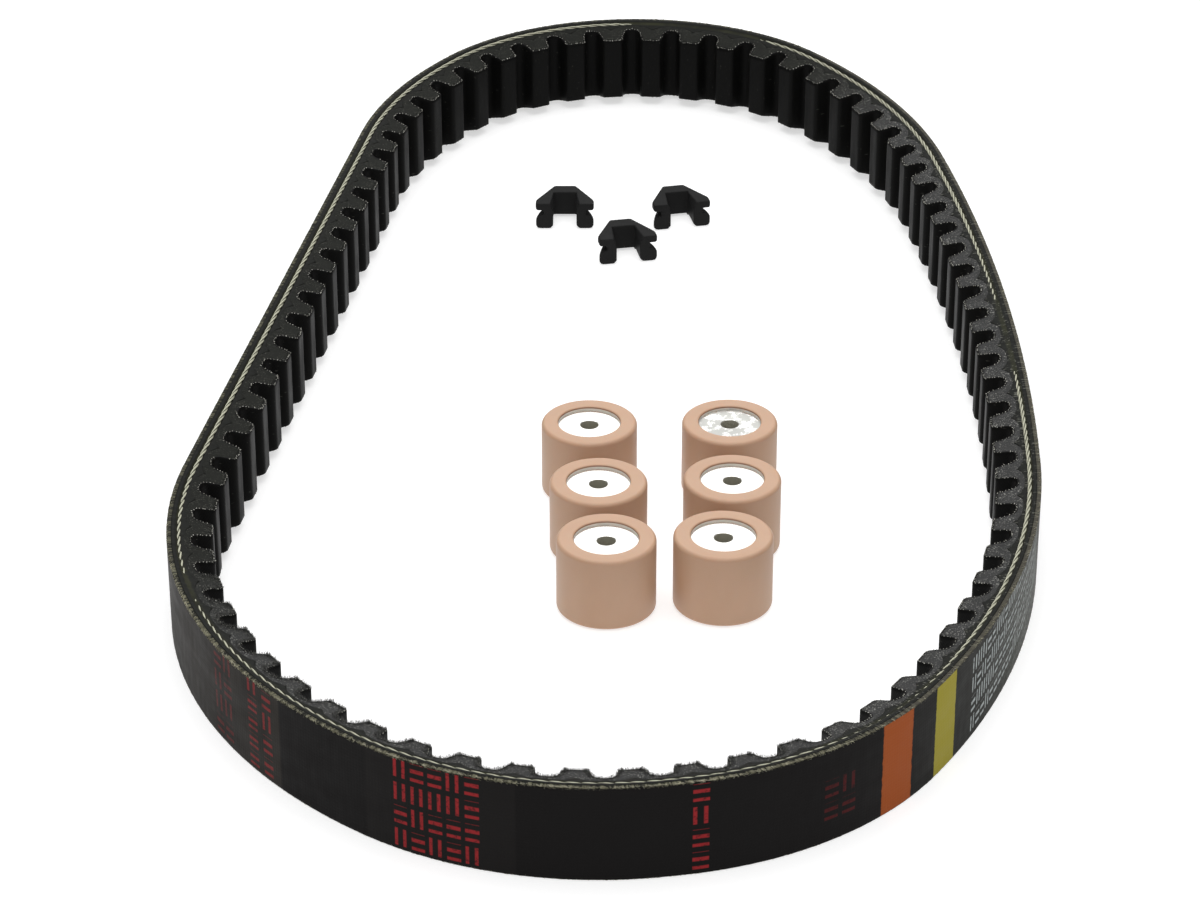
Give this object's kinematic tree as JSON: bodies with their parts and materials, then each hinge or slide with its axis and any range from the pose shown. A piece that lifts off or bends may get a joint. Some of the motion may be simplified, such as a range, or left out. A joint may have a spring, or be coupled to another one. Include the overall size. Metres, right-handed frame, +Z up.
{
  "type": "variator service kit",
  "caption": "Cogged drive belt lying in a loop around metal-cored roller weights and U-shaped slide pieces for a variable-speed drive.",
  "frame": {"origin": "on the supporting surface, under the middle of the belt's box", "axes": "+Z up from the surface the belt lies on, +Y along the loop's long axis towards its narrow end, +X to the right"},
  "size_m": [0.2026, 0.4028, 0.0228],
  "materials": {
    "back_fabric": "matte rubberised fabric with two painted stripes",
    "cushion_rubber": "matte ground rubber",
    "tension_cord": "twisted cream cord",
    "cog_rubber": "matte fibre-filled rubber, ground flanks",
    "cog_facing": "matte rubberised fabric",
    "sleeve_nylon": "satin moulded nylon",
    "core_metal": "bright turned face",
    "slider_nylon": "satin moulded nylon"
  },
  "bodies": {
    "belt": {"belt_back_fabric": "back_fabric", "belt_cushion_rubber": "cushion_rubber", "belt_tension_cord": "tension_cord", "belt_cog_body": "cog_rubber", "belt_cog_facing": "cog_facing"},
    "roller_1": {"roller_1_sleeve": "sleeve_nylon", "roller_1_core": "core_metal"},
    "roller_2": {"roller_2_sleeve": "sleeve_nylon", "roller_2_core": "core_metal"},
    "roller_3": {"roller_3_sleeve": "sleeve_nylon", "roller_3_core": "core_metal"},
    "roller_4": {"roller_4_sleeve": "sleeve_nylon", "roller_4_core": "core_metal"},
    "roller_5": {"roller_5_sleeve": "sleeve_nylon", "roller_5_core": "core_metal"},
    "roller_6": {"roller_6_sleeve": "sleeve_nylon", "roller_6_core": "core_metal"},
    "slider_1": {"slider_1": "slider_nylon"},
    "slider_2": {"slider_2": "slider_nylon"},
    "slider_3": {"slider_3": "slider_nylon"}
  },
  "joints": [
    {"name": "roller_1_lift_out", "type": "slide", "parent": "belt", "child": "roller_1", "axis": [0, 0, 1], "range_m": [0, 0.03]},
    {"name": "roller_2_lift_out", "type": "slide", "parent": "belt", "child": "roller_2", "axis": [0, 0, 1], "range_m": [0, 0.03]},
    {"name": "roller_3_lift_out", "type": "slide", "parent": "belt", "child": "roller_3", "axis": [0, 0, 1], "range_m": [0, 0.03]},
    {"name": "roller_4_lift_out", "type": "slide", "parent": "belt", "child": "roller_4", "axis": [0, 0, 1], "range_m": [0, 0.03]},
    {"name": "roller_5_lift_out", "type": "slide", "parent": "belt", "child": "roller_5", "axis": [0, 0, 1], "range_m": [0, 0.03]},
    {"name": "roller_6_lift_out", "type": "slide", "parent": "belt", "child": "roller_6", "axis": [0, 0, 1], "range_m": [0, 0.03]},
    {"name": "slider_1_lift_out", "type": "slide", "parent": "belt", "child": "slider_1", "axis": [0, 0, 1], "range_m": [0, 0.03]},
    {"name": "slider_2_lift_out", "type": "slide", "parent": "belt", "child": "slider_2", "axis": [0, 0, 1], "range_m": [0, 0.03]},
    {"name": "slider_3_lift_out", "type": "slide", "parent": "belt", "child": "slider_3", "axis": [0, 0, 1], "range_m": [0, 0.03]}
  ]
}
